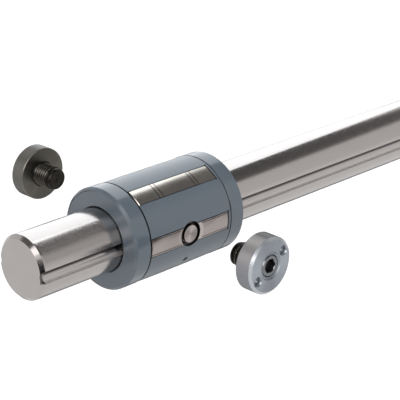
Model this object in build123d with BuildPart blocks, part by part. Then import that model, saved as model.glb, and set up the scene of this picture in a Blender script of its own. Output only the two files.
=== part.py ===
"""Torque-resistant linear bushing on its grooved shaft, with the two torque drivers drawn clear of it.

Units are millimetres. The shaft lies along +X from its front end at the origin, +Z is up, and the
torque plates look along -Y and +Y. A place round the shaft is given as an angle from -Y towards +Z.
"""
import os
from math import acos, atan2, ceil, cos, degrees, floor, pi, radians, sin, sqrt

from build123d import *

# Guide shaft: hardened bar with one ball groove on each torque side
shaft_radius = 12.5
shaft_length = 300.0
shaft_end_chamfer = 1.45
shaft_groove_radius = 2.6
shaft_groove_depth = 1.85

# Balls, and the room that each has to roll in
ball_diameter = 3.969
ball_gap = 0.08
ball_running_clearance = 0.03
channel_clearance = 0.065

# The bushing's layers, from the shaft outwards
bore_gap = 0.6
retainer_floor = 0.75
retainer_fit = 0.05
sleeve_wall = 2.051

# The bushing along the shaft
bushing_front = 38.0
bushing_length = 58.0
end_ring_length = 7.5
end_ring_lip = 1.0
end_ring_bore_gap = 0.3
end_ring_web = 1.1
end_chamfer = 1.0
joint_chamfer = 0.2
joint_groove_width = 0.5
joint_groove_depth = 0.7
lip_chamfer = 0.25

# Wiper seals, in a cavity of each end ring
seal_width = 2.6
seal_height = 2.8
seal_fit = 0.1
seal_lip_thickness = 0.7
seal_lip_clearance = 0.06
seal_lip_lean = 0.9
seal_tongue_root = 0.35

# Load plates: bearing strips let into windows of the sleeve
plate_width = 7.0
plate_gap = 0.25
plate_front_room = 0.8
plate_rear_land = 1.8
window_corner_radius = 0.35
plate_crown_half = 9.6
plate_crown_drop = 0.12
plate_foot_width = 6.0
plate_foot_clearance = 0.05
plate_track_radius = 2.06
plate_track_depth = 0.8
plate_end_chamfer = 0.25
plate_angle_step = 60

# Seat that takes the tip of a torque driver's screw
seat_pocket_radius = 5.0
seat_disc_radius = 3.45
seat_disc_depth = 0.4
seat_cone_depth = 0.3
seat_moat_depth = 1.3
seat_dish_radius = 6.8
seat_dish_depth = 0.4

# Lubrication hole in the sleeve
oil_hole_radius = 0.9
oil_hole_angle = -35.5
oil_hole_sink_radius = 1.3

# Torque drivers: a round nut and the screw through it
driver_ring_radius = 11.0
driver_ring_thickness = 7.2
driver_face_chamfer = 0.85
driver_face_chamfer_width = 1.1
driver_back_chamfer = 0.3
front_driver_distance = 53.0
rear_driver_distance = 67.0
spanner_hole_radius = 1.6
spanner_hole_circle = 7.8
spanner_hole_depth = 1.3
spanner_hole_angle = 33.0
spanner_hole_chamfer = 0.45
thread_radius = 4.9
thread_pitch = 1.25
thread_depth = 0.6
thread_flat = 0.12
thread_clearance = 0.06
thread_mouth = 0.45
screw_reach = 9.2
screw_recess = 0.25
screw_tip_radius = 4.35
screw_tip_length = 1.6
screw_tip_chamfer = 0.4
screw_neck_radius = 4.05
screw_neck_length = 0.5
screw_end_chamfer = 0.5
screw_centre_radius = 0.8
hex_across_flats = 5.0
hex_turn = 30.0
hex_depth = 3.5
hex_mouth_radius = 2.75

# Sizes that follow from those above
ball_radius = ball_diameter / 2
ball_pitch = ball_diameter + ball_gap
channel_radius = ball_radius + channel_clearance
retainer_bore_radius = shaft_radius + bore_gap
return_row_radius = retainer_bore_radius + retainer_floor + channel_radius
sleeve_bore_radius = return_row_radius + channel_radius
retainer_radius = sleeve_bore_radius - retainer_fit
bushing_radius = sleeve_bore_radius + sleeve_wall
bushing_x = bushing_front + bushing_length / 2
sleeve_half = bushing_length / 2 - end_ring_length
plate_length = 2 * sleeve_half - plate_front_room - plate_rear_land
plate_x = bushing_x + (plate_front_room - plate_rear_land) / 2
seal_room = seal_width + 2 * seal_fit
retainer_half = bushing_length / 2 - end_ring_lip - seal_room - end_ring_web - retainer_fit
plain_row_radius = shaft_radius + ball_running_clearance + ball_radius
shaft_groove_centre = shaft_radius - shaft_groove_depth + shaft_groove_radius
torque_row_radius = shaft_radius - shaft_groove_depth + ball_running_clearance + ball_radius
turn_radius = ball_pitch / sqrt(2)
seat_disc_level = bushing_radius - seat_disc_depth

# Each row holds as many balls as the sleeve has room for, with two more round each turn
turn_step_in = turn_radius * (1 - cos(pi / 4))
row_entry = sqrt(ball_pitch**2 - turn_step_in**2) - turn_radius * sin(pi / 4)
row_room = 2 * (sleeve_half - channel_radius - turn_radius - row_entry)
balls_in_row = floor(row_room / ball_pitch) + 1
row_half = (balls_in_row - 1) * ball_pitch / 2
track_half = row_half + row_entry
plate_foot_half = track_half - channel_clearance

plate_names = {
    0: "torque_plate_front",
    60: "load_plate_upper_front",
    120: "load_plate_upper_rear",
    180: "torque_plate_rear",
    240: "load_plate_lower_rear",
    300: "load_plate_lower_front",
}
ball_names = {
    0: "balls_torque_front",
    60: "balls_upper_front",
    120: "balls_upper_rear",
    180: "balls_torque_rear",
    240: "balls_lower_rear",
    300: "balls_lower_front",
}
torque_angles = (0, 180)
plate_angles = range(0, 360, plate_angle_step)


def outward(angle):
    """Direction square to the shaft at this angle, from -Y towards +Z."""
    return Vector(0, -cos(radians(angle)), sin(radians(angle)))


def radial_plane(angle, height=0.0, x=plate_x):
    """Plane that faces outwards at this angle and height above the shaft's axis, its x along the shaft."""
    return Plane(origin=Vector(x, 0, 0) + outward(angle) * height, x_dir=(1, 0, 0), z_dir=outward(angle))


def loaded_row(angle):
    """Distance of a circuit's loaded balls from the shaft's axis."""
    return torque_row_radius if angle in torque_angles else plain_row_radius


def circuit_plane(angle):
    """Plane through a circuit's turns: loaded side at local y negative, return row at local y positive."""
    inner = plain_row_radius
    outer = return_row_radius
    turn = acos((inner**2 + outer**2 - (2 * turn_radius) ** 2) / (2 * inner * outer))
    across = outer * sin(turn)
    rise = outer * cos(turn) - inner
    tangent = outward(angle + 90)
    middle = outward(angle) * (inner + rise / 2) + tangent * (across / 2)
    lean = degrees(atan2(rise, across))
    return Plane(origin=Vector(plate_x, 0, 0) + middle, x_dir=(1, 0, 0), z_dir=outward(angle - lean))


def ball_centres(angle):
    """Ball centres of one circuit: the loaded row, then the return row and two balls round each turn."""
    places = [i * ball_pitch - row_half for i in range(balls_in_row)]
    loaded = [Vector(plate_x + along, 0, 0) + outward(angle) * loaded_row(angle) for along in places]
    step = turn_radius * cos(pi / 4)
    turns = [(end * (track_half + step), side * step) for end in (-1, 1) for side in (-1, 1)]
    returning = [(along, turn_radius) for along in places]
    plane = circuit_plane(angle)
    return loaded + [plane.from_local_coords((along, across, 0)) for along, across in returning + turns]


def thread_outline(start, stop, crest, root):
    """Points (radius, height) of thread crests and roots between two heights, one crest each pitch."""
    flank = thread_pitch / 2 - thread_flat
    points = []
    for turn in range(ceil(start / thread_pitch), floor(stop / thread_pitch)):
        base = turn * thread_pitch
        points.append((root, base))
        points.append((crest, base + flank))
        points.append((crest, base + flank + thread_flat))
        points.append((root, base + 2 * flank + thread_flat))
    return points


def turned_about_shaft(profile):
    """Ring with this (x, radius) outline, turned about the shaft's axis."""
    with BuildPart() as ring:
        with BuildSketch(Plane.XY):
            with BuildLine():
                Polyline(*profile, close=True)
            make_face()
        revolve(axis=Axis.X)
    return ring.part


def finish(piece, name):
    """Labels a finished piece and writes it under its own name."""
    piece.label = name
    export_step(piece, f"parts/{name}.step")


os.makedirs("parts", exist_ok=True)

# Guide shaft
with BuildPart() as guide_shaft:
    with BuildSketch(Plane.YZ):
        Circle(shaft_radius)
    extrude(amount=shaft_length)
    chamfer(guide_shaft.edges().filter_by(GeomType.CIRCLE), length=shaft_end_chamfer)
    with BuildSketch(Plane.YZ):
        with PolarLocations(shaft_groove_centre, len(torque_angles)):
            Circle(shaft_groove_radius)
    extrude(amount=shaft_length, mode=Mode.SUBTRACT)
finish(guide_shaft.part, "guide_shaft")


def seat_pocket(angle):
    """Room that a driver's screw tip goes into: a round pocket with a moat round its hollowed disc."""
    with BuildPart() as pocket:
        with BuildSketch(radial_plane(angle, seat_disc_level)):
            Circle(seat_pocket_radius)
        extrude(amount=bushing_radius)
        with BuildSketch(radial_plane(angle, seat_disc_level - seat_moat_depth)):
            Circle(seat_pocket_radius)
            Circle(seat_disc_radius, mode=Mode.SUBTRACT)
        extrude(amount=2 * seat_moat_depth)
        with Locations(radial_plane(angle, seat_disc_level - seat_cone_depth / 2)):
            Cone(0, seat_disc_radius, seat_cone_depth)
    return pocket.part


# Outer sleeve: windows open towards the front ring, so that the plates slide in before it goes on
seat_pockets = {angle: seat_pocket(angle) for angle in torque_angles}
body_half = sleeve_half - joint_groove_width
window_width = plate_width + 2 * plate_gap
window_rear = plate_x + plate_length / 2 + plate_gap
window_length = window_rear - (bushing_x - sleeve_half - joint_groove_width)
with BuildPart() as outer_sleeve:
    for radius, half in ((bushing_radius - joint_groove_depth, sleeve_half), (bushing_radius, body_half)):
        with BuildSketch(Plane.YZ.offset(bushing_x - half)):
            Circle(radius)
            Circle(sleeve_bore_radius, mode=Mode.SUBTRACT)
        extrude(amount=2 * half)
    for angle in plate_angles:
        with BuildSketch(radial_plane(angle, x=window_rear)):
            with Locations((-window_length / 2, 0)):
                Rectangle(window_length, window_width)
            with Locations((0, -window_width / 2), (0, window_width / 2)):
                Circle(window_corner_radius)
        extrude(amount=2 * bushing_radius, mode=Mode.SUBTRACT)
    for angle in torque_angles:
        add(seat_pockets[angle], mode=Mode.SUBTRACT)
    with Locations(radial_plane(oil_hole_angle, bushing_radius, bushing_x)):
        CounterSinkHole(oil_hole_radius, oil_hole_sink_radius, depth=2 * sleeve_wall)
finish(outer_sleeve.part, "outer_sleeve")

# Ball retainer: a tube with one racetrack channel for each circuit and a pocket for each plate's foot
foot_pocket_width = plate_foot_width + 2 * plate_foot_clearance
foot_pocket_length = 2 * (plate_foot_half + plate_foot_clearance)


def foot_face(angle):
    """Distance of the inner face of a plate's foot from the shaft's axis."""
    return loaded_row(angle) + ball_radius + ball_running_clearance - plate_track_depth


def ball_channel(angle):
    """Round channel along a circuit's racetrack, open outwards to the sleeve."""
    with BuildPart() as channel:
        with BuildLine(circuit_plane(angle)) as track:
            Line((-track_half, -turn_radius), (track_half, -turn_radius))
            ThreePointArc((track_half, -turn_radius), (track_half + turn_radius, 0), (track_half, turn_radius))
            Line((track_half, turn_radius), (-track_half, turn_radius))
            ThreePointArc((-track_half, turn_radius), (-track_half - turn_radius, 0), (-track_half, -turn_radius))
        with BuildSketch(Plane(origin=track.wire() @ 0, z_dir=track.wire() % 0)):
            Circle(channel_radius)
        sweep()
        with BuildSketch(circuit_plane(angle)):
            SlotCenterToCenter(2 * track_half, 2 * (turn_radius + channel_radius))
            SlotCenterToCenter(2 * track_half, 2 * (turn_radius - channel_radius), mode=Mode.SUBTRACT)
        extrude(amount=bushing_radius - retainer_bore_radius)
        if angle in torque_angles:
            with BuildSketch(radial_plane(angle, plain_row_radius)):
                SlotCenterToCenter(2 * row_half, 2 * channel_radius)
            extrude(amount=-shaft_radius)
    return channel.part


ball_channels = {angle: ball_channel(angle) for angle in plate_angles}
with BuildPart() as ball_retainer:
    with BuildSketch(Plane.YZ.offset(bushing_x - retainer_half)):
        Circle(retainer_radius)
        Circle(retainer_bore_radius, mode=Mode.SUBTRACT)
    extrude(amount=2 * retainer_half)
    for angle in plate_angles:
        add(ball_channels[angle], mode=Mode.SUBTRACT)
        with BuildSketch(radial_plane(angle, foot_face(angle) - plate_foot_clearance)):
            Rectangle(foot_pocket_length, foot_pocket_width)
        extrude(amount=bushing_radius, mode=Mode.SUBTRACT)
finish(ball_retainer.part, "ball_retainer")


def bearing_plate(angle):
    """Steel strip whose crowned back lies in the sleeve's surface and whose foot carries the ball track."""
    half = plate_length / 2
    rim = bushing_radius - plate_crown_drop
    crown = turned_about_shaft(
        [
            (plate_x - half, sleeve_bore_radius),
            (plate_x + half, sleeve_bore_radius),
            (plate_x + half, rim - plate_end_chamfer),
            (plate_x + half - plate_end_chamfer, rim),
            (plate_x + plate_crown_half, bushing_radius),
            (plate_x - plate_crown_half, bushing_radius),
            (plate_x - half + plate_end_chamfer, rim),
            (plate_x - half, rim - plate_end_chamfer),
        ]
    )
    track_centre = loaded_row(angle) + ball_radius + ball_running_clearance - plate_track_radius
    foot_depth = sleeve_bore_radius - foot_face(angle)
    track_start = plate_x - plate_foot_half
    with BuildPart() as plate:
        with BuildSketch(radial_plane(angle)):
            Rectangle(plate_length, plate_width)
        extrude(amount=2 * bushing_radius)
        add(crown, mode=Mode.INTERSECT)
        with BuildSketch(radial_plane(angle, foot_face(angle))):
            Rectangle(2 * plate_foot_half, plate_foot_width)
        extrude(amount=foot_depth + sleeve_wall / 4)
        with BuildSketch(Plane(origin=Vector(track_start, 0, 0) + outward(angle) * track_centre, z_dir=(1, 0, 0))):
            Circle(plate_track_radius)
        extrude(amount=2 * plate_foot_half, mode=Mode.SUBTRACT)
        if angle in torque_angles:
            add(seat_pockets[angle], mode=Mode.SUBTRACT)
            with BuildSketch(radial_plane(angle, bushing_radius - seat_dish_depth)):
                Circle(seat_pocket_radius)
            with BuildSketch(radial_plane(angle, bushing_radius)):
                Circle(seat_dish_radius)
            loft(mode=Mode.SUBTRACT)
    return plate.part


for angle in plate_angles:
    finish(bearing_plate(angle), plate_names[angle])

# Balls, one circuit under each plate
for angle in plate_angles:
    with BuildPart() as circuit_balls:
        with Locations(*ball_centres(angle)):
            Sphere(ball_radius)
    finish(circuit_balls.part, ball_names[angle])

# End rings and their wiper seals, each turned from its outer face inwards
cavity_radius = retainer_bore_radius + seal_height
lip_bore = shaft_radius + end_ring_bore_gap
lip_tip = shaft_radius + seal_lip_clearance
for side, face_x, direction in (("front", bushing_front, 1), ("rear", bushing_front + bushing_length, -1)):
    cavity_start = end_ring_lip
    cavity_end = end_ring_lip + seal_room
    pocket_start = cavity_end + end_ring_web
    outline = [
        (0, lip_bore + lip_chamfer),
        (0, bushing_radius - end_chamfer),
        (end_chamfer, bushing_radius),
        (end_ring_length - joint_chamfer, bushing_radius),
        (end_ring_length, bushing_radius - joint_chamfer),
        (end_ring_length, sleeve_bore_radius),
        (pocket_start, sleeve_bore_radius),
        (pocket_start, retainer_bore_radius),
        (cavity_end, retainer_bore_radius),
        (cavity_end, cavity_radius),
        (cavity_start, cavity_radius),
        (cavity_start, lip_bore),
        (lip_chamfer, lip_bore),
    ]
    end_ring = turned_about_shaft([(face_x + direction * depth, radius) for depth, radius in outline])
    finish(end_ring, f"{side}_end_ring")

    seal_start = cavity_start + seal_fit
    seal_outline = [
        (seal_start, retainer_bore_radius),
        (seal_start, cavity_radius - seal_fit),
        (seal_start + seal_width, cavity_radius - seal_fit),
        (seal_start + seal_width, retainer_bore_radius + seal_fit),
        (seal_start + seal_lip_lean + seal_lip_thickness, retainer_bore_radius + seal_fit),
        (seal_start + seal_lip_thickness, lip_tip),
        (seal_start, lip_tip),
    ]
    with BuildPart() as seal:
        add(turned_about_shaft([(face_x + direction * depth, radius) for depth, radius in seal_outline]))
        with BuildSketch(Plane.YZ.offset(face_x + direction * seal_start)):
            with PolarLocations(shaft_groove_centre, len(torque_angles)):
                Circle(shaft_groove_radius - seal_lip_clearance)
            Circle(lip_tip + seal_tongue_root, mode=Mode.INTERSECT)
        extrude(amount=direction * seal_lip_thickness)
    finish(seal.part, f"{side}_wiper_seal")


def driver_plane(side, distance):
    """Plane across a driver's axis, facing away from the bushing, at this distance from the shaft's axis."""
    return Plane(origin=(plate_x, side * distance, 0), x_dir=(1, 0, 0), z_dir=(0, side, 0))


def turned_about_driver(profile, side, distance):
    """Piece with this (radius, height) outline, turned about a driver's axis."""
    across = Plane(origin=(plate_x, side * distance, 0), x_dir=(1, 0, 0), z_dir=(0, 0, side))
    with BuildPart() as turned:
        with BuildSketch(across):
            with BuildLine():
                Polyline(*profile, close=True)
            make_face()
        revolve(axis=Axis((plate_x, 0, 0), (0, side, 0)))
    return turned.part


def driver_ring(side, distance):
    """Round nut: back face at height 0, threaded through, with two holes for a pin spanner in its face."""
    top = driver_ring_thickness
    crest = thread_radius - thread_depth + thread_clearance
    root = thread_radius + thread_clearance
    body = turned_about_driver(
        [
            (driver_ring_radius - driver_back_chamfer, 0),
            (driver_ring_radius, driver_back_chamfer),
            (driver_ring_radius, top - driver_face_chamfer),
            (driver_ring_radius - driver_face_chamfer_width, top),
            (crest, top),
            *reversed(thread_outline(0, top, root, crest)),
        ],
        side,
        distance,
    )
    with BuildPart() as ring:
        add(body)
        with BuildSketch(driver_plane(side, distance)):
            Circle(root + thread_mouth)
        extrude(amount=thread_mouth, taper=45, mode=Mode.SUBTRACT)
        with BuildSketch(driver_plane(side, distance + top)):
            Circle(root + thread_mouth)
        extrude(amount=-thread_mouth, taper=45, mode=Mode.SUBTRACT)
        with Locations(driver_plane(side, distance + top)):
            with PolarLocations(spanner_hole_circle, 2, start_angle=spanner_hole_angle):
                CounterSinkHole(spanner_hole_radius, spanner_hole_radius + spanner_hole_chamfer, spanner_hole_depth)
    return ring.part


def set_screw(side, distance):
    """Threaded screw through a driver's nut: plain round tip towards the bushing, hexagon socket outside."""
    tip = -screw_reach
    end = driver_ring_thickness - screw_recess
    root = thread_radius - thread_depth
    shoulder = tip + screw_tip_length
    body = turned_about_driver(
        [
            (0, tip + screw_centre_radius),
            (screw_centre_radius, tip),
            (screw_tip_radius - screw_tip_chamfer, tip),
            (screw_tip_radius, tip + screw_tip_chamfer),
            (screw_tip_radius, shoulder - screw_neck_length),
            (screw_neck_radius, shoulder - screw_neck_length),
            (screw_neck_radius, shoulder),
            (root, shoulder),
            *thread_outline(shoulder, end - screw_end_chamfer, thread_radius, root),
            (root, end - screw_end_chamfer),
            (root - screw_end_chamfer, end),
            (0, end),
        ],
        side,
        distance,
    )
    with BuildPart() as screw:
        add(body)
        with BuildSketch(driver_plane(side, distance + end)):
            RegularPolygon(hex_across_flats / 2, 6, major_radius=False, rotation=hex_turn)
        extrude(amount=-hex_depth, mode=Mode.SUBTRACT)
        with BuildSketch(driver_plane(side, distance + end)):
            Circle(hex_mouth_radius)
        extrude(amount=-(hex_mouth_radius - hex_across_flats / 2), taper=45, mode=Mode.SUBTRACT)
    return screw.part


for name, side, distance in (("front", -1, front_driver_distance), ("rear", 1, rear_driver_distance)):
    finish(driver_ring(side, distance), f"{name}_driver_ring")
    finish(set_screw(side, distance), f"{name}_set_screw")

# Distances that the joints use
front_travel = front_driver_distance - screw_reach - seat_disc_level
rear_travel = rear_driver_distance - screw_reach - seat_disc_level
print(f"bushing radius {bushing_radius:.3f}, sleeve bore {sleeve_bore_radius:.3f}, retainer half {retainer_half:.3f}")
print(f"balls in a row {balls_in_row}, track half {track_half:.3f}, plate foot half {plate_foot_half:.3f}")
print(f"rows at {plain_row_radius:.3f} and {torque_row_radius:.3f}, return row at {return_row_radius:.3f}")
print(f"driver travel to the seat: front {front_travel:.3f}, rear {rear_travel:.3f}")
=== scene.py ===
"""Torque-resistant linear bushing on its grooved guide shaft, with its two torque drivers drawn clear.

Lengths are in metres. The shaft lies along +X from its front end at the origin, +Z is up, and the torque
plates look along -Y and +Y. An angle round the shaft is counted from -Y towards +Z.
"""

import math

import bpy
import numpy as np
from mathutils import Matrix, Vector


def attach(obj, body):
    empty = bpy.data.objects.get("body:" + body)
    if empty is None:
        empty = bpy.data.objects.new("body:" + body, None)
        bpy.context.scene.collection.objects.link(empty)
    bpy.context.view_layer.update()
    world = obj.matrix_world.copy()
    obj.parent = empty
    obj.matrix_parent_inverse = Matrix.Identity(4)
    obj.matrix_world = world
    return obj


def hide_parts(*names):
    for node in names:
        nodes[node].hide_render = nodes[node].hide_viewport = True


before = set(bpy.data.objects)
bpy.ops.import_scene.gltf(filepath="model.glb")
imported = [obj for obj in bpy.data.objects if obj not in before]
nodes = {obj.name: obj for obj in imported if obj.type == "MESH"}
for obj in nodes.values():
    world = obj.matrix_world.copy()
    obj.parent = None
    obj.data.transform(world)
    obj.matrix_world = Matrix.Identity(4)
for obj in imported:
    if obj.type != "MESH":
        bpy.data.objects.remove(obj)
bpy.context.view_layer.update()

# Guide shaft: a bar of hardened steel, ground and polished, with one ball groove ground along each
# torque side. It is cut to length and its two ends are chamfered. It is made here as one fine surface,
# because so bright a finish shows every facet.
shaft_radius = 0.0125
shaft_length = 0.300
shaft_end_chamfer = 0.00145
shaft_groove_radius = 0.0026
shaft_groove_centre = 0.01325
groove_points = 33
bar_points = 129
chamfer_points = 9
crease_angle = math.radians(26)
shaft_steel_colour = (0.462, 0.430, 0.415)
shaft_shades = (0.97, 1.03)
shaft_roughness = (0.04, 0.21)
shaft_speckle = (0.35, 0.65)
shaft_relief_depth = 0.0000006
groove_edge = (shaft_radius - 0.00012, shaft_radius - 0.00004)
groove_start = (shaft_end_chamfer, shaft_end_chamfer + 0.00005)
groove_finish = (shaft_length - shaft_end_chamfer - 0.00005, shaft_length - shaft_end_chamfer)
groove_roughness = (0.50, 0.16)
groove_roughness_heights = (-0.0014, -0.0002)
# painted highlight: the heights over which each groove's lower edge is brightened
groove_painted_highlight_heights = (-0.0016, -0.0008)
groove_painted_highlight = 1.7
# painted shade: the heights over which each groove's upper edge is darkened
groove_painted_shade_heights = (-0.0002, 0.0010)
groove_painted_shade = 0.04
# the handled front stretch: its polish is worn, and two streaks of painted reflection lie on it
worn_and_painted_front_start = (shaft_end_chamfer, shaft_end_chamfer + 0.001)
worn_and_painted_front_finish = (0.030, 0.046)
handled_roughness = (0.17, 0.26)
handled_speckle = (0.42, 0.62)
# painted reflection: a dull streak and a pale one across the handled front, each with its heights and shade
painted_dull_reflection = ((0.0041, 0.0055), (0.0072, 0.0080), 0.79)
painted_pale_reflection = ((0.0077, 0.0091), (0.0108, 0.0116), 1.95)
# painted shade on the front chamfer beside the grooves
chamfer_painted_shade_start = (0.00002, 0.00006)
chamfer_painted_shade_finish = (shaft_end_chamfer - 0.0002, shaft_end_chamfer - 0.0001)
chamfer_painted_shade_heights = ((-0.0028, -0.0024), (0.0040, 0.0056))
chamfer_painted_shade = 0.28


def skin(name, rows, start=None, end=None):
    """Mesh over a grid of points, rows by columns by 3, whose last column joins its first.

    Each cell of four neighbours is one face, and start and end are the points in which the first and
    the last row close as a fan. Six times the volume is the sum over all triangles of the triple product
    of their corners: where it is negative, every face is turned round.
    """
    count, around = rows.shape[:2]
    points = [rows.reshape(-1, 3)]
    here = np.arange(count * around).reshape(count, around)
    beside = np.roll(here, -1, axis=1)
    quads = np.stack([here[:-1], beside[:-1], beside[1:], here[1:]], axis=-1).reshape(-1, 4)
    fans = []
    for pole, row, flip in ((start, 0, True), (end, -1, False)):
        if pole is None:
            continue
        tip = np.full(around, sum(len(p) for p in points))
        points.append(np.array([pole], float))
        ends = (beside[row], here[row]) if flip else (here[row], beside[row])
        fans.append(np.stack([*ends, tip], axis=-1))
    points = np.concatenate(points)
    corners = np.concatenate([quads[:, [0, 1, 2]], quads[:, [0, 2, 3]], *fans])
    first, second, third = (points[corners[:, place]] for place in range(3))
    volume = np.einsum("ij,ij->", first, np.cross(second, third))
    faces = [quads, *fans]
    if volume < 0:
        faces = [f[:, ::-1] for f in faces]
    mesh = bpy.data.meshes.new(name)
    mesh.from_pydata(points.tolist(), [], [f for group in faces for f in group.tolist()])
    mesh.polygons.foreach_set("use_smooth", np.ones(len(mesh.polygons), bool))
    mesh.set_sharp_from_angle(angle=crease_angle)
    mesh.update()
    piece = bpy.data.objects.new(name, mesh)
    bpy.context.scene.collection.objects.link(piece)
    return piece


def shaft_outline(radius):
    """Cross-section of the shaft, as distances and angles round its axis.

    It is a circle of this radius less a groove circle on each torque side. The two circles meet where the
    cosine rule puts them, and between those edges a point lies at the nearer root of its ray's crossing
    with the groove circle.
    """
    squares = radius**2 + shaft_groove_centre**2 - shaft_groove_radius**2
    edge = math.acos(squares / (2 * radius * shaft_groove_centre))
    in_groove = edge * np.linspace(-1, 1, groove_points)
    on_bar = np.linspace(edge, math.pi - edge, bar_points)[1:-1]
    across = shaft_groove_centre * np.sin(in_groove)
    half_chord = np.sqrt(np.maximum(shaft_groove_radius**2 - across**2, 0))
    reach = np.concatenate([shaft_groove_centre * np.cos(in_groove) - half_chord, np.full(on_bar.size, radius)])
    angle = np.concatenate([in_groove, on_bar])
    return np.concatenate([reach, reach]), np.concatenate([angle, angle + math.pi])


def shaft_row(x, radius):
    """The shaft's outline of this radius, set across the shaft at x."""
    reach, angle = shaft_outline(radius)
    return np.stack([np.full(reach.size, x), -reach * np.cos(angle), reach * np.sin(angle)], axis=-1)


chamfer_steps = np.linspace(0, shaft_end_chamfer, chamfer_points)
front_rows = [shaft_row(s, shaft_radius - shaft_end_chamfer + s) for s in chamfer_steps]
rear_rows = [shaft_row(shaft_length - s, shaft_radius - shaft_end_chamfer + s) for s in chamfer_steps[::-1]]
shaft = skin("ground_shaft", np.array(front_rows + rear_rows), (0, 0, 0), (shaft_length, 0, 0))


def material(name, metallic=1.0):
    """New material with only its principled shader and its output, and the parts that it is built from."""
    made = bpy.data.materials.new(name)
    made.use_nodes = True
    tree = made.node_tree
    shader = tree.nodes["Principled BSDF"]
    shader.inputs["Metallic"].default_value = metallic
    return made, tree, shader


def put(tree, kind, inputs=(), **settings):
    """Adds a shader node with these settings, and sets or links its inputs, given as (socket, value) pairs."""
    node = tree.nodes.new(kind)
    for key, value in settings.items():
        setattr(node, key, value)
    for socket, value in dict(inputs).items():
        if isinstance(value, bpy.types.NodeSocket):
            tree.links.new(value, node.inputs[socket])
        else:
            node.inputs[socket].default_value = value
    return node


def placed(tree, scale=(1.0, 1.0, 1.0), centre=(0.0, 0.0, 0.0)):
    """Object coordinates about a centre, stretched by a scale along each axis."""
    place = put(tree, "ShaderNodeTexCoord").outputs["Object"]
    moved = put(tree, "ShaderNodeVectorMath", [(0, place), (1, centre)], operation="SUBTRACT")
    scaled = put(tree, "ShaderNodeVectorMath", [(0, moved.outputs[0]), (1, scale)], operation="MULTIPLY")
    return scaled.outputs[0]


def parts_of(tree, place):
    """The three coordinates of a place."""
    return put(tree, "ShaderNodeSeparateXYZ", [(0, place)]).outputs


def length_of(tree, place):
    """Distance of a place from its centre."""
    return put(tree, "ShaderNodeVectorMath", [(0, place)], operation="LENGTH").outputs["Value"]


def mottle(tree, place, scale, detail=3.0, rough=0.5):
    """Noise between 0 and 1 over a place."""
    inputs = [("Vector", place), ("Scale", scale), ("Detail", detail), ("Roughness", rough)]
    return put(tree, "ShaderNodeTexNoise", inputs).outputs["Fac"]


def combined(tree, kind, *values):
    """Two or more values brought together by one operation."""
    total = values[0]
    for value in values[1:]:
        total = put(tree, "ShaderNodeMath", [(0, total), (1, value)], operation=kind).outputs[0]
    return total


def ranged(tree, value, low, high, to_low, to_high):
    """Carries a value from one range to another, held at both ends."""
    inputs = [("Value", value), ("From Min", low), ("From Max", high), ("To Min", to_low), ("To Max", to_high)]
    return put(tree, "ShaderNodeMapRange", inputs).outputs["Result"]


def rising(tree, value, low, high):
    """Nothing where a value is below low, one where it is above high."""
    return ranged(tree, value, low, high, 0.0, 1.0)


def falling(tree, value, low, high):
    """One where a value is below low, nothing where it is above high."""
    return ranged(tree, value, low, high, 1.0, 0.0)


def band(tree, value, start, finish):
    """One between two places of a value. It rises over the first pair, and falls over the second."""
    return combined(tree, "MULTIPLY", rising(tree, value, *start), falling(tree, value, *finish))


def between(tree, factor, first, second):
    """Number between two others."""
    return put(tree, "ShaderNodeMix", [(0, factor), (2, first), (3, second)]).outputs[0]


def tinted(tree, factor, first, second):
    """Colour between two others, each either written out or made by a node."""
    ends = [end if isinstance(end, bpy.types.NodeSocket) else (*end, 1.0) for end in (first, second)]
    inputs = [(0, factor), (6, ends[0]), (7, ends[1])]
    return put(tree, "ShaderNodeMix", inputs, data_type="RGBA").outputs[2]


def shade(colour, by):
    """The same colour, made lighter or darker by this factor."""
    return tuple(min(1.0, c * by) for c in colour)


def shaded(tree, factor, colour, shades):
    """A colour that goes from the first of two shades to the second."""
    return tinted(tree, factor, shade(colour, shades[0]), shade(colour, shades[1]))


def relief(tree, height, depth, onto=None):
    """Bumps a surface by a height of this depth in metres, over any relief that is there already."""
    inputs = [("Height", height), ("Strength", 1.0), ("Distance", depth)]
    if onto is not None:
        inputs.append(("Normal", onto))
    return put(tree, "ShaderNodeBump", inputs).outputs["Normal"]


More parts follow.
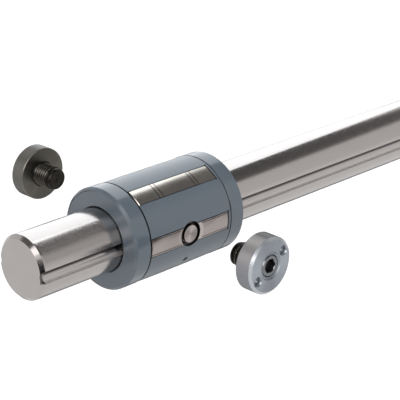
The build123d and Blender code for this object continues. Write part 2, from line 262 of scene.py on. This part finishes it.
def ground_steel():
    """Polished bar: fine rings left by the grinding wheel, a faint grain, and slightly uneven polish.

    Painted shade darkens each groove along its upper edge, and a painted highlight brightens it at its lower
    one.
    The front end has been handled, which dulls its polish; two streaks there are painted reflection, and its
    chamfer has painted shade beside the grooves.
    """
    made, tree, steel = material("ground_steel")
    colour = shaft_steel_colour
    rings = mottle(tree, placed(tree, (900.0, 40.0, 40.0)), scale=4.0, detail=4.0, rough=0.6)
    grain = mottle(tree, placed(tree), scale=2600.0, detail=2.0, rough=0.6)
    cloud = mottle(tree, placed(tree, (0.4, 1.0, 1.0)), scale=180.0)
    speckle = mottle(tree, placed(tree, (0.7, 1.0, 1.0)), scale=2200.0, detail=2.0, rough=0.6)
    along, _, height = parts_of(tree, placed(tree))
    reach = length_of(tree, placed(tree, (0.0, 1.0, 1.0)))
    sunk = falling(tree, reach, *groove_edge)
    in_groove = combined(tree, "MULTIPLY", sunk, band(tree, along, groove_start, groove_finish))
    worn_and_painted_front = band(tree, along, worn_and_painted_front_start, worn_and_painted_front_finish)

    look = shaded(tree, cloud, colour, shaft_shades)
    # Painted highlight: each groove is brightened at its lower edge.
    painted_groove_highlight = combined(tree, "MULTIPLY", in_groove, falling(tree, height, *groove_painted_highlight_heights))
    look = tinted(tree, painted_groove_highlight, look, shade(colour, groove_painted_highlight))
    # Painted shade: each groove is darkened along its upper edge.
    painted_groove_shade = combined(tree, "MULTIPLY", in_groove, rising(tree, height, *groove_painted_shade_heights))
    look = tinted(tree, painted_groove_shade, look, shade(colour, groove_painted_shade))
    # Painted reflection: two streaks across the handled front end.
    for start, finish, reflection_band_shade in (painted_dull_reflection, painted_pale_reflection):
        painted_reflection_band = combined(tree, "MULTIPLY", worn_and_painted_front, band(tree, height, start, finish))
        look = tinted(tree, painted_reflection_band, look, shade(colour, reflection_band_shade))
    # Painted shade on the front chamfer beside the grooves.
    on_chamfer = band(tree, along, chamfer_painted_shade_start, chamfer_painted_shade_finish)
    painted_chamfer_shade = combined(tree, "MULTIPLY", on_chamfer, band(tree, height, *chamfer_painted_shade_heights))
    look = tinted(tree, painted_chamfer_shade, look, shade(colour, chamfer_painted_shade))
    tree.links.new(look, steel.inputs["Base Color"])

    kept = ranged(tree, speckle, *shaft_speckle, *shaft_roughness)
    worn = ranged(tree, speckle, *handled_speckle, *handled_roughness)
    groove_polish = ranged(tree, height, *groove_roughness_heights, *groove_roughness)
    polish = between(tree, in_groove, between(tree, worn_and_painted_front, kept, worn), groove_polish)
    tree.links.new(polish, steel.inputs["Roughness"])
    grained = relief(tree, grain, shaft_relief_depth)
    tree.links.new(relief(tree, rings, shaft_relief_depth, grained), steel.inputs["Normal"])
    return made


shaft.data.materials.append(ground_steel())
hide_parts("guide_shaft")
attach(shaft, "shaft")

# Outer sleeve and end rings: moulded slate-grey plastic, the sleeve with a window for each plate, and a
# ring pressed on at each end. The skin has a fine moulded grain and the sheen of a hard plastic.
slate_colour = (0.129, 0.156, 0.186)
slate_shades = (0.94, 1.06)
# painted shade: near-black for the joints and window recesses, the oil hole's sink and a line by the rings'
# chamfer
painted_recess_shade = (0.012, 0.012, 0.012)
ring_roughness = 0.17
sleeve_roughness = 0.31
plastic_refraction = 1.55
plastic_grain_depth = 0.0000012
unevenness = 0.08
bushing_x = 0.067
bushing_radius = 0.020
bushing_half = 0.029
sleeve_half = 0.0215
end_chamfer = 0.001
end_face = (bushing_half - 0.0003, bushing_half - 0.0002)
# painted shade: a thin dark line just inside the end rings' chamfer, on the far side only
edge_line_radius = bushing_radius - end_chamfer - 0.00012
edge_line_width = 0.0005
edge_line_north = (0.0, 0.008)
edge_line_strength = 0.8
joint_shade_reach = sleeve_half + 0.00012
window_shade_reach = bushing_radius - 0.0001
recess_shade_edge = 0.0001
oil_hole_turn = math.radians(-35.5)
# painted shade fills the oil hole's sink
oil_hole_sink_radius = 0.0013
oil_hole_side = (0.0, 0.001)


def coat(piece, made):
    """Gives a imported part's whole surface one material."""
    piece.data.materials.clear()
    piece.data.materials.append(made)


def worked(tree, kind, value):
    """One value put through one operation."""
    return put(tree, "ShaderNodeMath", [(0, value)], operation=kind).outputs[0]


def leaning(tree, place, axis):
    """How far a place lies along an axis: the scalar product of the two."""
    return put(tree, "ShaderNodeVectorMath", [(0, place), (1, axis)], operation="DOT_PRODUCT").outputs["Value"]


def diagonal(tree, first, second):
    """Distance whose two parts, square to each other, are these."""
    return length_of(tree, put(tree, "ShaderNodeCombineXYZ", [("X", first), ("Y", second)]).outputs[0])


def uneven(tree, noise, value):
    """A value that noise carries up and down by a small share of itself."""
    return ranged(tree, noise, 0.0, 1.0, value * (1 - unevenness), value * (1 + unevenness))


def line_at(tree, value, places, width):
    """One on thin lines where a value has these places, and nothing between them."""
    away = [worked(tree, "ABSOLUTE", combined(tree, "SUBTRACT", value, place)) for place in places]
    return falling(tree, combined(tree, "MINIMUM", *away), width * 0.3, width * 0.7)


def slate_plastic(name, rough, shade_axes, shade_reach):
    """Hard plastic: faint cloud, low grain and uneven sheen.

    Painted shade darkens all that lies nearer to the bushing's middle than the given reach, measured along the
    given axes: the rings' sides in the joints and the sleeve's window walls. It also fills the oil hole's sink
    and a thin line just inside the end faces' chamfer, on the far side.
    """
    made, tree, plastic = material(name, metallic=0.0)
    cloud = mottle(tree, placed(tree), scale=60.0)
    grain = mottle(tree, placed(tree), scale=3200.0, detail=2.0)
    place = placed(tree, centre=(bushing_x, 0.0, 0.0))
    along, north, _ = parts_of(tree, place)

    look = shaded(tree, cloud, slate_colour, slate_shades)
    inwards = length_of(tree, placed(tree, shade_axes, (bushing_x, 0.0, 0.0)))
    # Painted shade in the recesses: the rings' sides in the joints and the sleeve's window walls.
    look = tinted(tree, falling(tree, inwards, shade_reach - recess_shade_edge, shade_reach), look, painted_recess_shade)
    # Painted shade: a thin line inside the end faces' chamfer, strongest on the far side.
    painted_edge_shade = combined(
        tree,
        "MULTIPLY",
        rising(tree, worked(tree, "ABSOLUTE", along), *end_face),
        line_at(tree, length_of(tree, placed(tree, (0.0, 1.0, 1.0))), (edge_line_radius,), edge_line_width),
        ranged(tree, north, *edge_line_north, 0.0, edge_line_strength),
    )
    cosine, sine = math.cos(oil_hole_turn), math.sin(oil_hole_turn)
    from_hole = diagonal(tree, along, leaning(tree, place, (0.0, sine, cosine)))
    # Painted shade filling the oil hole's sink.
    painted_sink_shade = combined(
        tree,
        "MULTIPLY",
        falling(tree, from_hole, oil_hole_sink_radius - recess_shade_edge, oil_hole_sink_radius),
        rising(tree, leaning(tree, place, (0.0, -cosine, sine)), *oil_hole_side),
    )
    look = tinted(tree, combined(tree, "MAXIMUM", painted_edge_shade, painted_sink_shade), look, painted_recess_shade)
    tree.links.new(look, plastic.inputs["Base Color"])

    tree.links.new(uneven(tree, cloud, rough), plastic.inputs["Roughness"])
    plastic.inputs["IOR"].default_value = plastic_refraction
    tree.links.new(relief(tree, grain, plastic_grain_depth), plastic.inputs["Normal"])
    return made


ring_finish = slate_plastic("slate_plastic", ring_roughness, (1.0, 0.0, 0.0), joint_shade_reach)
sleeve_finish = slate_plastic("sleeve_plastic", sleeve_roughness, (0.0, 1.0, 1.0), window_shade_reach)
coat(nodes["outer_sleeve"], sleeve_finish)
coat(nodes["front_end_ring"], ring_finish)
coat(nodes["rear_end_ring"], ring_finish)

# Ball retainer, wiper seals and balls: black moulded plastic, black rubber and polished bearing steel.
# They lie inside the bushing and show only in the gaps.


def hidden_finish(name, colour, roughness, metallic, mottling):
    """Plain finish of an inner part, with a faint mottle in its colour."""
    made, tree, body = material(name, metallic)
    body.inputs["Roughness"].default_value = roughness
    cloud = mottle(tree, placed(tree), scale=400.0)
    tree.links.new(shaded(tree, cloud, colour, (1 - mottling, 1 + mottling)), body.inputs["Base Color"])
    return made


coat(nodes["ball_retainer"], hidden_finish("retainer_plastic", (0.020, 0.020, 0.022), 0.45, 0.0, 0.2))
seal_rubber = hidden_finish("seal_rubber", (0.012, 0.012, 0.012), 0.6, 0.0, 0.25)
coat(nodes["front_wiper_seal"], seal_rubber)
coat(nodes["rear_wiper_seal"], seal_rubber)
ball_steel = hidden_finish("ball_steel", (0.62, 0.62, 0.63), 0.06, 1.0, 0.02)
for name in nodes:
    if name.startswith("balls_"):
        coat(nodes[name], ball_steel)

# Load plates and torque plates: strips of bearing steel with a ground back, lying in the sleeve's windows.
# The back is crowned, with fine cross lines where the crown begins. Each torque plate has a turned seat.
load_plate_colour = (0.700, 0.650, 0.595)
load_plate_roughness = 0.19
torque_plate_colour = (0.395, 0.350, 0.333)
torque_plate_roughness = 0.24
plate_shades = (0.78, 1.16)
# painted shade: near-black for the seat's moat and one edge of each plate
painted_gap_shade = (0.012, 0.011, 0.010)
plate_x = 0.0665
plate_half_width = 0.0034
plate_edge_turn = math.asin(plate_half_width / bushing_radius)
plate_edge = (plate_edge_turn - 0.003, plate_edge_turn + 0.003)
plate_spacing = math.pi / 3
plate_grain_depth = 0.0000012
scribed_line_width = 0.00040
scribed_line_shade = 0.25
load_plate_lines = (-0.0096, -0.0077, 0.0091, 0.0109)
torque_plate_lines = (0.0029, -0.0029)
# painted shade, blotchy, over a torque plate's upper half
upper_shade_heights = (0.0002, 0.0030)
upper_shade_blotches = (0.35, 0.60)
upper_shade_thinnest = 0.25
upper_painted_shade = 0.52
seat_disc_radius = 0.00345
seat_pocket_radius = 0.0050
seat_dish_radius = 0.0068
seat_edge = 0.0001
moat_start = (seat_disc_radius + 0.00004, seat_disc_radius + 0.00010)
moat_finish = (seat_pocket_radius + 0.00002, seat_pocket_radius + 0.00008)
dish_start = (seat_pocket_radius, seat_pocket_radius + seat_edge)
dish_finish = (seat_dish_radius - 0.0006, seat_dish_radius)
# painted highlight on the dish beyond the seat, strongest on its east side
dish_east = (-0.002, 0.002)
dish_highlight = 1.25
dish_weakest = 0.2
seat_rays_and_sheen_shades = (0.50, 1.22)
seat_ring_depth = 0.00002


def about_driver_axis(tree):
    """Distance from the axis that the seat and its driver share."""
    return length_of(tree, placed(tree, (1.0, 0.0, 1.0), (plate_x, 0.0, 0.0)))


def one_way(tree, value, scale, detail=2.0):
    """Noise that changes along one value only, for lines and rings."""
    place = put(tree, "ShaderNodeCombineXYZ", [("X", value)]).outputs[0]
    return mottle(tree, place, scale, detail, rough=0.6)


def lathe_rays_and_sheen(tree, turn, scale, offset, share):
    """Light and dark rays round a turned face, between 0 and 1.

    Noise round the turn makes this share of them. The cosine of twice the turn, less an offset, makes the
    rest: a painted sheen that stands for the light a face cut in rings reflects.
    """
    rays = ranged(tree, one_way(tree, turn, scale, detail=4.0), 0.35, 0.65, 0.0, share)
    inputs = [(0, turn), (1, 2.0), (2, -offset)]
    twice = put(tree, "ShaderNodeMath", inputs, operation="MULTIPLY_ADD").outputs[0]
    sheen = ranged(tree, worked(tree, "COSINE", twice), -1.0, 1.0, 0.0, 1.0 - share)
    return combined(tree, "ADD", rays, sheen)


def ground_strip(name, colour, rough, line_axis, places, shade_above):
    """Ground strip: fine grain along its length, fine scribed lines, and one dark edge.

    The lines' places are counted from the strip's middle, along the shaft where line_axis is 0 and upwards
    where it is 2. The dark edge is painted shade, and a torque plate's upper half is darkened by blotchy
    painted shade. Round the drivers' axis lies the seat: a disc with lathe rays and painted sheen, a moat
    darkened by painted shade, and a dish beyond with a painted highlight, strongest on its east side. Only the
    torque plates reach so near to it.
    """
    made, tree, steel = material(name)
    grain = mottle(tree, placed(tree, (60.0, 900.0, 900.0)), scale=3.0, rough=0.6)
    cloud = mottle(tree, placed(tree, (0.5, 1.0, 1.0)), scale=90.0, detail=2.0)
    shadow = mottle(tree, placed(tree), scale=55.0, detail=1.0)
    from_middle = parts_of(tree, placed(tree, (1.0, -1.0, 1.0), (plate_x, 0.0, 0.0)))
    east, north, up = from_middle
    distance = about_driver_axis(tree)

    look = shaded(tree, rising(tree, shadow, 0.1, 0.9), colour, plate_shades)
    # Painted shade, in blotches, over a torque plate's upper half.
    if shade_above:
        blotch = mottle(tree, placed(tree, (0.5, 1.0, 1.0)), scale=260.0, rough=0.6)
        blotch = ranged(tree, blotch, *upper_shade_blotches, upper_shade_thinnest, 1.0)
        upper_shade = combined(tree, "MULTIPLY", rising(tree, up, *upper_shade_heights), blotch)
        look = tinted(tree, upper_shade, look, shade(colour, upper_painted_shade))
    lines = line_at(tree, from_middle[line_axis], places, scribed_line_width)
    lines = combined(tree, "MULTIPLY", lines, rising(tree, distance, *dish_start))
    look = tinted(tree, lines, look, shade(colour, scribed_line_shade))
    # Painted shade in the seat's moat.
    look = tinted(tree, band(tree, distance, moat_start, moat_finish), look, painted_gap_shade)
    # Painted highlight on the dish, strongest on its east side.
    painted_dish_highlight = combined(
        tree,
        "MULTIPLY",
        ranged(tree, east, *dish_east, dish_weakest, 1.0),
        band(tree, distance, dish_start, dish_finish),
    )
    look = tinted(tree, painted_dish_highlight, look, shade(colour, dish_highlight))
    round_shaft = combined(tree, "ARCTAN2", up, north)
    limits = [(0, round_shaft), (1, -plate_spacing / 2), (2, plate_spacing / 2)]
    from_plate_line = put(tree, "ShaderNodeMath", limits, operation="WRAP").outputs[0]
    # Painted shade along one edge of each plate.
    look = tinted(tree, rising(tree, from_plate_line, *plate_edge), look, painted_gap_shade)
    # Lathe rays with a painted sheen on the seat's disc.
    rays = lathe_rays_and_sheen(tree, combined(tree, "ARCTAN2", up, east), scale=1.3, offset=2.4, share=0.4)
    on_disc = falling(tree, distance, seat_disc_radius - seat_edge, seat_disc_radius)
    look = tinted(tree, on_disc, look, shaded(tree, rays, colour, seat_rays_and_sheen_shades))
    tree.links.new(look, steel.inputs["Base Color"])

    tree.links.new(uneven(tree, cloud, rough), steel.inputs["Roughness"])
    near_disc = falling(tree, distance, seat_disc_radius, seat_disc_radius + seat_edge)
    rings = combined(tree, "MULTIPLY", one_way(tree, distance, 6000.0), near_disc)
    grained = relief(tree, grain, plate_grain_depth)
    tree.links.new(relief(tree, rings, seat_ring_depth, grained), steel.inputs["Normal"])
    return made


load_finish = ground_strip(
    "load_plate_steel", load_plate_colour, load_plate_roughness, 0, load_plate_lines, shade_above=False
)
torque_finish = ground_strip(
    "torque_plate_steel", torque_plate_colour, torque_plate_roughness, 2, torque_plate_lines, shade_above=True
)
for name in nodes:
    if "_plate_" in name:
        coat(nodes[name], load_finish if name.startswith("load") else torque_finish)

# Driver rings: round nuts turned from steel, bright on the front driver; the rear one is the same steel made
# darker as painted shade. Each has a chamfered rim, a tapped bore and two blind holes for a pin spanner.
driver_ring_radius = 0.011
nut_rays_and_sheen_shades = (0.72, 1.26)
rim_start = (driver_ring_radius - 0.00004, driver_ring_radius - 0.00001)
# painted light: the rim goes from its low shade to its high one over these heights, with a painted dark
# reflection near its top
rim_heights = (-0.002, 0.010)
rim_dark_reflection_east = ((-0.005, -0.001), (0.004, 0.007))
rim_dark_reflection_heights = (0.003, 0.008)
rim_roughness = 0.42
cut_edge = 0.00005
# painted highlight on the chamfers, weaker towards the east
cut_east = (-0.004, 0.006)
cut_far_strength = 0.15
spanner_hole_radius = 0.0016
spanner_hole_blur = 0.0005
spanner_hole_circle = 0.0078
spanner_hole_turn = math.radians(33)
bore_edge = (0.0054, 0.0055)
drilled_roughness = 0.50
turned_ring_depth = 0.000002
turned_grain_depth = 0.0000015
bright_nut = {
    "colour": (0.325, 0.342, 0.375),
    "rim_low": (0.270, 0.274, 0.296),
    "rim_high": (0.480, 0.458, 0.455),
    "rim_dark_reflection": (0.060, 0.056, 0.055),
    "cut_highlight_colour": (0.520, 0.540, 0.570),
    "cut_start": 0.0099,
    "face_roughness": 0.22,
}
# painted shade: the rear nut is the front one's steel made darker
painted_shade_nut = {
    "colour": (0.130, 0.121, 0.104),
    "rim_low": (0.140, 0.133, 0.119),
    "rim_high": (0.180, 0.172, 0.154),
    "rim_dark_reflection": (0.112, 0.105, 0.095),
    "cut_highlight_colour": (0.220, 0.206, 0.184),
    "cut_start": 0.01066,
    "face_roughness": 0.40,
}


def turned_steel(name, colour, rim_low, rim_high, rim_dark_reflection, cut_highlight_colour, cut_start, face_roughness):
    """Lathe-turned steel: fine rings about the driver's axis, lathe rays on the faces, chamfers cut bright.

    Painted light makes the rim paler towards its top, with a painted dark reflection there. The chamfers'
    brightness is a painted highlight, strongest on the west side, and the faces' lathe rays carry a painted
    sheen. The holes and the bore are rough drilled.
    """
    made, tree, steel = material(name)
    distance = about_driver_axis(tree)
    place = placed(tree, centre=(plate_x, 0.0, 0.0))
    east, _, up = parts_of(tree, place)
    on_rim = rising(tree, distance, *rim_start)

    # Lathe rays with a painted sheen on the faces.
    rays = lathe_rays_and_sheen(tree, combined(tree, "ARCTAN2", up, east), scale=1.1, offset=0.0, share=0.3)
    face = shaded(tree, rays, colour, nut_rays_and_sheen_shades)
    # Painted highlight on the chamfers, strongest on the west side.
    painted_cut_highlight = combined(
        tree,
        "MULTIPLY",
        rising(tree, distance, cut_start, cut_start + cut_edge),
        ranged(tree, east, *cut_east, 1.0, cut_far_strength),
    )
    face = tinted(tree, painted_cut_highlight, face, cut_highlight_colour)
    # Painted light: the rim paler towards its top, and a painted dark reflection there.
    rim = tinted(tree, rising(tree, up, *rim_heights), rim_low, rim_high)
    painted_dark_reflection = combined(tree, "MULTIPLY", band(tree, east, *rim_dark_reflection_east), rising(tree, up, *rim_dark_reflection_heights))
    rim = tinted(tree, painted_dark_reflection, rim, rim_dark_reflection)
    tree.links.new(tinted(tree, on_rim, face, rim), steel.inputs["Base Color"])

    cosine, sine = math.cos(spanner_hole_turn), math.sin(spanner_hole_turn)
    outwards = worked(tree, "ABSOLUTE", leaning(tree, place, (cosine, 0.0, sine)))
    beside = combined(tree, "SUBTRACT", outwards, spanner_hole_circle)
    from_hole = diagonal(tree, beside, leaning(tree, place, (-sine, 0.0, cosine)))
    in_hole = falling(tree, from_hole, spanner_hole_radius, spanner_hole_radius + spanner_hole_blur)
    drilled = combined(tree, "MAXIMUM", in_hole, falling(tree, distance, *bore_edge))
    smooth = between(tree, on_rim, face_roughness, rim_roughness)
    tree.links.new(between(tree, drilled, smooth, drilled_roughness), steel.inputs["Roughness"])
    grain = mottle(tree, placed(tree), scale=2600.0, detail=2.0, rough=0.6)
    ringed = relief(tree, one_way(tree, distance, 5000.0), turned_ring_depth)
    tree.links.new(relief(tree, grain, turned_grain_depth, ringed), steel.inputs["Normal"])
    return made


coat(nodes["front_driver_ring"], turned_steel("bright_ring_steel", **bright_nut))
coat(nodes["rear_driver_ring"], turned_steel("dark_ring_steel", **painted_shade_nut))

# Set screws: black screws threaded right through the driver rings, with a plain round tip that meets the
# seat and a hexagon socket outside. The thread is a real helix here; the CAD solid has rings.
thread_radius = 0.0049
thread_depth = 0.0006
thread_pitch = 0.00125
thread_flat_share = 0.10
thread_runout = thread_pitch / 2
thread_crest = (thread_radius - 0.45 * thread_depth, thread_radius - 0.1 * thread_depth)
thread_row_step = thread_pitch / 16
thread_row_margin = thread_pitch / 40
turn_points = 96
screw_reach = 0.0092
screw_end = 0.00695
screw_end_chamfer = 0.0005
screw_tip_radius = 0.00435
screw_tip_length = 0.0016
screw_tip_chamfer = 0.0004
screw_neck_radius = 0.00405
screw_neck_length = 0.0005
screw_centre_radius = 0.0008
hex_across_flats = 0.005
hex_depth = 0.0035
hex_mouth_radius = 0.00275
hex_mouth_rows = 11
hex_side_turn = math.pi / 3
front_driver_distance = 0.053
rear_driver_distance = 0.067
screw_roughness = (0.24, 0.36)
screw_ring_depth = 0.000001
oxide_root_colour = (0.016, 0.014, 0.012)
oxide_crest_colour = (0.140, 0.126, 0.110)
end_root_colour = (0.190, 0.196, 0.210)
end_crest_colour = (0.420, 0.425, 0.435)


def screw_steel(name, root_colour, crest_colour):
    """Black oxide on steel: dark in the thread's roots, worn brighter on its crests, with a dull gloss."""
    made, tree, steel = material(name)
    distance = about_driver_axis(tree)
    cloud = mottle(tree, placed(tree), scale=500.0, detail=4.0, rough=0.6)
    worn = ranged(tree, distance, *thread_crest, 0.0, 0.8)
    worn = combined(tree, "ADD", worn, ranged(tree, cloud, 0.3, 0.7, 0.0, 0.2))
    tree.links.new(tinted(tree, worn, root_colour, crest_colour), steel.inputs["Base Color"])
    tree.links.new(ranged(tree, cloud, 0.3, 0.7, *screw_roughness), steel.inputs["Roughness"])
    tree.links.new(relief(tree, one_way(tree, distance, 5000.0), screw_ring_depth), steel.inputs["Normal"])
    return made


def set_screw(name, side, distance):
    """Screw about a driver's axis, as one grid of turns by heights.

    On the thread, the radius is the root plus the depth times a trapezoid wave of height over pitch less
    turn, which rises and dies out over half a pitch at each end. In the socket, the radius is that of a
    hexagon, half its width over the cosine of the turn from the nearest flat, or that of the mouth's cone
    where this is wider.
    """
    turn = np.linspace(0, 2 * math.pi, turn_points, endpoint=False)
    root = thread_radius - thread_depth
    tip = -screw_reach
    shoulder = tip + screw_tip_length
    thread_end = screw_end - screw_end_chamfer
    plain = [
        (screw_centre_radius, tip),
        (screw_tip_radius - screw_tip_chamfer, tip),
        (screw_tip_radius, tip + screw_tip_chamfer),
        (screw_tip_radius, shoulder - screw_neck_length),
        (screw_neck_radius, shoulder - screw_neck_length),
        (screw_neck_radius, shoulder),
    ]
    rows = [(np.full(turn.size, radius), np.full(turn.size, height)) for radius, height in plain]
    heights = np.arange(shoulder, thread_end + thread_row_margin, thread_row_step)
    phase = (heights[:, None] / thread_pitch - side * turn[None, :] / (2 * math.pi)) % 1
    slope = 0.5 - thread_flat_share
    wave = np.clip(np.minimum(phase, 1 - phase) / slope - thread_flat_share / (2 * slope), 0, 1)
    fade = np.clip(np.minimum(heights - shoulder, thread_end - heights) / thread_runout, 0, 1)[:, None]
    for height, radius in zip(heights, root + thread_depth * wave * fade):
        rows.append((radius, np.full(turn.size, height)))
    threaded = len(rows)
    rows.append((np.full(turn.size, root - screw_end_chamfer), np.full(turn.size, screw_end)))
    from_flat = turn % hex_side_turn - hex_side_turn / 2
    hexagon = hex_across_flats / 2 / np.cos(from_flat)
    for depth in (*np.linspace(0, hex_mouth_radius - hex_across_flats / 2, hex_mouth_rows), hex_depth):
        rows.append((np.maximum(hexagon, hex_mouth_radius - depth), np.full(turn.size, screw_end - depth)))
    radius, height = (np.array(part) for part in zip(*rows))
    grid = [plate_x + radius * np.cos(turn), side * (distance + height), radius * np.sin(turn)]
    tip_point = (plate_x, side * (distance + tip + screw_centre_radius), 0)
    socket_point = (plate_x, side * (distance + screw_end - hex_depth), 0)
    screw = skin(name, np.stack(grid, axis=-1), tip_point, socket_point)
    cells = np.arange(len(screw.data.polygons))
    outer_end = (cells >= (threaded - 1) * turn.size) & (cells < (len(rows) - 1) * turn.size)
    for made in (thread_finish, end_finish):
        screw.data.materials.append(made)
    screw.data.polygons.foreach_set("material_index", outer_end.astype(np.int32))
    return screw


thread_finish = screw_steel("black_screw_steel", oxide_root_colour, oxide_crest_colour)
end_finish = screw_steel("screw_end_steel", end_root_colour, end_crest_colour)
for place, side, distance in (("front", -1, front_driver_distance), ("rear", 1, rear_driver_distance)):
    screw = set_screw(f"{place}_threaded_screw", side, distance)
    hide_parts(f"{place}_set_screw")
    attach(screw, f"{place}_screw")

# Studio: a pale floor well below the object, in a room with pale walls under a dim ceiling. One long soft
# panel crosses overhead. Small soft lamps stand at the left, near the camera and high up on the far side.
# It is dark round the camera, and two dark stands on the floor show in the metal only.
floor_level = -0.16
floor_half = 6.0
floor_paint = (0.52, 0.52, 0.52)
floor_roughness = 0.9
floor_glow_seen = 0.66
floor_glow_mirrored = 0.43
white = (1.0, 1.0, 1.0)
stand_paint = (0.05, 0.05, 0.05)
near_stand_axis = (-0.785, -0.620, 0.0)
near_stand_cross_axis = (-0.620, 0.785, 0.0)
near_stand_start = (0.21, 0.27)
near_stand_sides = (0.09, 0.13)
far_stand_east = ((0.04, 0.12), (0.45, 0.60))
far_stand_north = ((0.04, 0.10), (0.32, 0.42))
far_stand_depth = 0.9
room_tones = ((0.48, 1.0), (0.54, 0.80), (0.77, 0.76), (0.81, 0.16), (0.90, 0.09), (1.0, 0.12))
left_wall_reach = (-0.6, -0.3)
left_wall_lift = 1.35
dark_towards = (-0.80, -0.58, 0.08)
dark_spread = (0.93, 0.97)
dark_depth = 0.12
panel_edge = (-0.609, 0.703, 0.365)
panel_sharp_side = (-0.008, 0.008)
panel_soft_side = (0.37, 0.47)
panel_left_end = (-0.4, -0.1)
panel_radiance = 2.15
panel_tint = (0.955, 1.0, 1.035)
panel_tint_from = 0.5
left_lamp = ((-0.768, -0.159, 0.62), (0.962, 0.992), 2.2)
near_lamp = ((-0.53, -0.77, 0.34), (0.945, 0.975), 4.0)
high_lamp = ((0.05, 0.71, 0.70), (0.89, 0.96), 0.85)


def pale_floor():
    """Matt floor that keeps shadows, looks white to the camera, and has dark stands for the metal to mirror."""
    made, tree, paint = material("pale_floor", metallic=0.0)
    paint.inputs["Roughness"].default_value = floor_roughness
    paint.inputs["Specular IOR Level"].default_value = 0.0
    rays = put(tree, "ShaderNodeLightPath").outputs
    place = placed(tree)
    east, north, _ = parts_of(tree, place)
    sideways = worked(tree, "ABSOLUTE", leaning(tree, place, near_stand_cross_axis))
    near_stand = combined(
        tree,
        "MULTIPLY",
        rising(tree, leaning(tree, place, near_stand_axis), *near_stand_start),
        falling(tree, sideways, *near_stand_sides),
    )
    far_stand = combined(
        tree,
        "MULTIPLY",
        band(tree, east, *far_stand_east),
        band(tree, north, *far_stand_north),
        far_stand_depth,
    )
    stands = combined(tree, "MULTIPLY", combined(tree, "MAXIMUM", near_stand, far_stand), rays["Is Glossy Ray"])
    tree.links.new(tinted(tree, stands, floor_paint, stand_paint), paint.inputs["Base Color"])
    mirrored = combined(tree, "ADD", rays["Is Glossy Ray"], rays["Is Transmission Ray"])
    mirrored = combined(tree, "MULTIPLY", mirrored, ranged(tree, stands, 0.0, 1.0, floor_glow_mirrored, 0.0))
    seen = combined(tree, "MULTIPLY", rays["Is Camera Ray"], floor_glow_seen)
    paint.inputs["Emission Color"].default_value = (*white, 1.0)
    tree.links.new(combined(tree, "ADD", seen, mirrored), paint.inputs["Emission Strength"])
    return made


floor_mesh = bpy.data.meshes.new("floor")
corners = [(x * floor_half, y * floor_half, floor_level) for x, y in ((-1, -1), (1, -1), (1, 1), (-1, 1))]
floor_mesh.from_pydata(corners, [], [(0, 1, 2, 3)])
floor = bpy.data.objects.new("floor", floor_mesh)
floor_mesh.materials.append(pale_floor())
bpy.context.scene.collection.objects.link(floor)

world = bpy.data.worlds.new("studio_room")
bpy.context.scene.world = world
world.use_nodes = True
room = world.node_tree
direction = put(room, "ShaderNodeTexCoord").outputs["Generated"]
side_on, _, height = parts_of(room, direction)


def towards(axis):
    """How far a direction leans towards an axis: the cosine between them."""
    return leaning(room, direction, Vector(axis).normalized())


ramp = put(room, "ShaderNodeValToRGB", [("Fac", rising(room, height, -1.0, 1.0))])
while len(ramp.color_ramp.elements) < len(room_tones):
    ramp.color_ramp.elements.new(0.5)
for stop, (position, tone) in zip(ramp.color_ramp.elements, room_tones):
    stop.position = position
    stop.color = (tone, tone, tone, 1.0)
walls = combined(
    room,
    "MULTIPLY",
    ramp.outputs["Color"],
    ranged(room, towards(dark_towards), *dark_spread, 1.0, dark_depth),
    ranged(room, side_on, *left_wall_reach, left_wall_lift, 1.0),
)
across_panel = towards(panel_edge)
panel = combined(
    room,
    "MULTIPLY",
    ranged(room, across_panel, *panel_sharp_side, 0.0, panel_radiance),
    falling(room, across_panel, *panel_soft_side),
    rising(room, side_on, *panel_left_end),
)
lamps = [
    ranged(room, towards(axis), *spread, 0.0, radiance)
    for axis, spread, radiance in (left_lamp, near_lamp, high_lamp)
]
light = combined(room, "MAXIMUM", panel, *lamps, walls)
tint = tinted(room, rising(room, panel, panel_tint_from, panel_radiance), white, panel_tint)
light = put(room, "ShaderNodeVectorMath", [(0, light), (1, tint)], operation="MULTIPLY").outputs[0]
seen_straight = put(room, "ShaderNodeLightPath").outputs["Is Camera Ray"]
room.links.new(tinted(room, seen_straight, light, white), room.nodes["Background"].inputs["Color"])
bpy.context.scene.view_settings.view_transform = "Standard"

# Camera: where the photograph was taken from, by the outlines of the shaft, the bushing and the drivers.
# Its frame is square and has no shift.
camera_at = Vector((-0.308017, -0.388780, 0.226324))
camera_azimuth = math.radians(-45.7649)
camera_height = math.radians(22.0025)
camera_roll = math.radians(0.9483)
camera_lens = 136.517
camera_sensor = 36.0
camera_near_limit = 0.01

backwards = Vector(
    (
        math.sin(camera_azimuth) * math.cos(camera_height),
        -math.cos(camera_azimuth) * math.cos(camera_height),
        math.sin(camera_height),
    )
)
level = (-backwards).cross(Vector((0, 0, 1))).normalized()
upright = level.cross(-backwards)
right = math.cos(camera_roll) * level + math.sin(camera_roll) * upright
top = math.cos(camera_roll) * upright - math.sin(camera_roll) * level
lens = bpy.data.cameras.new("camera")
lens.lens = camera_lens
lens.sensor_width = camera_sensor
lens.clip_start = camera_near_limit
camera = bpy.data.objects.new("camera", lens)
camera.matrix_world = Matrix.Translation(camera_at) @ Matrix((right, top, backwards)).transposed().to_4x4()
bpy.context.scene.collection.objects.link(camera)
bpy.context.scene.camera = camera


def plain(box):
    """A box as plain lists of numbers."""
    return [[float(value) for value in corner] for corner in box]
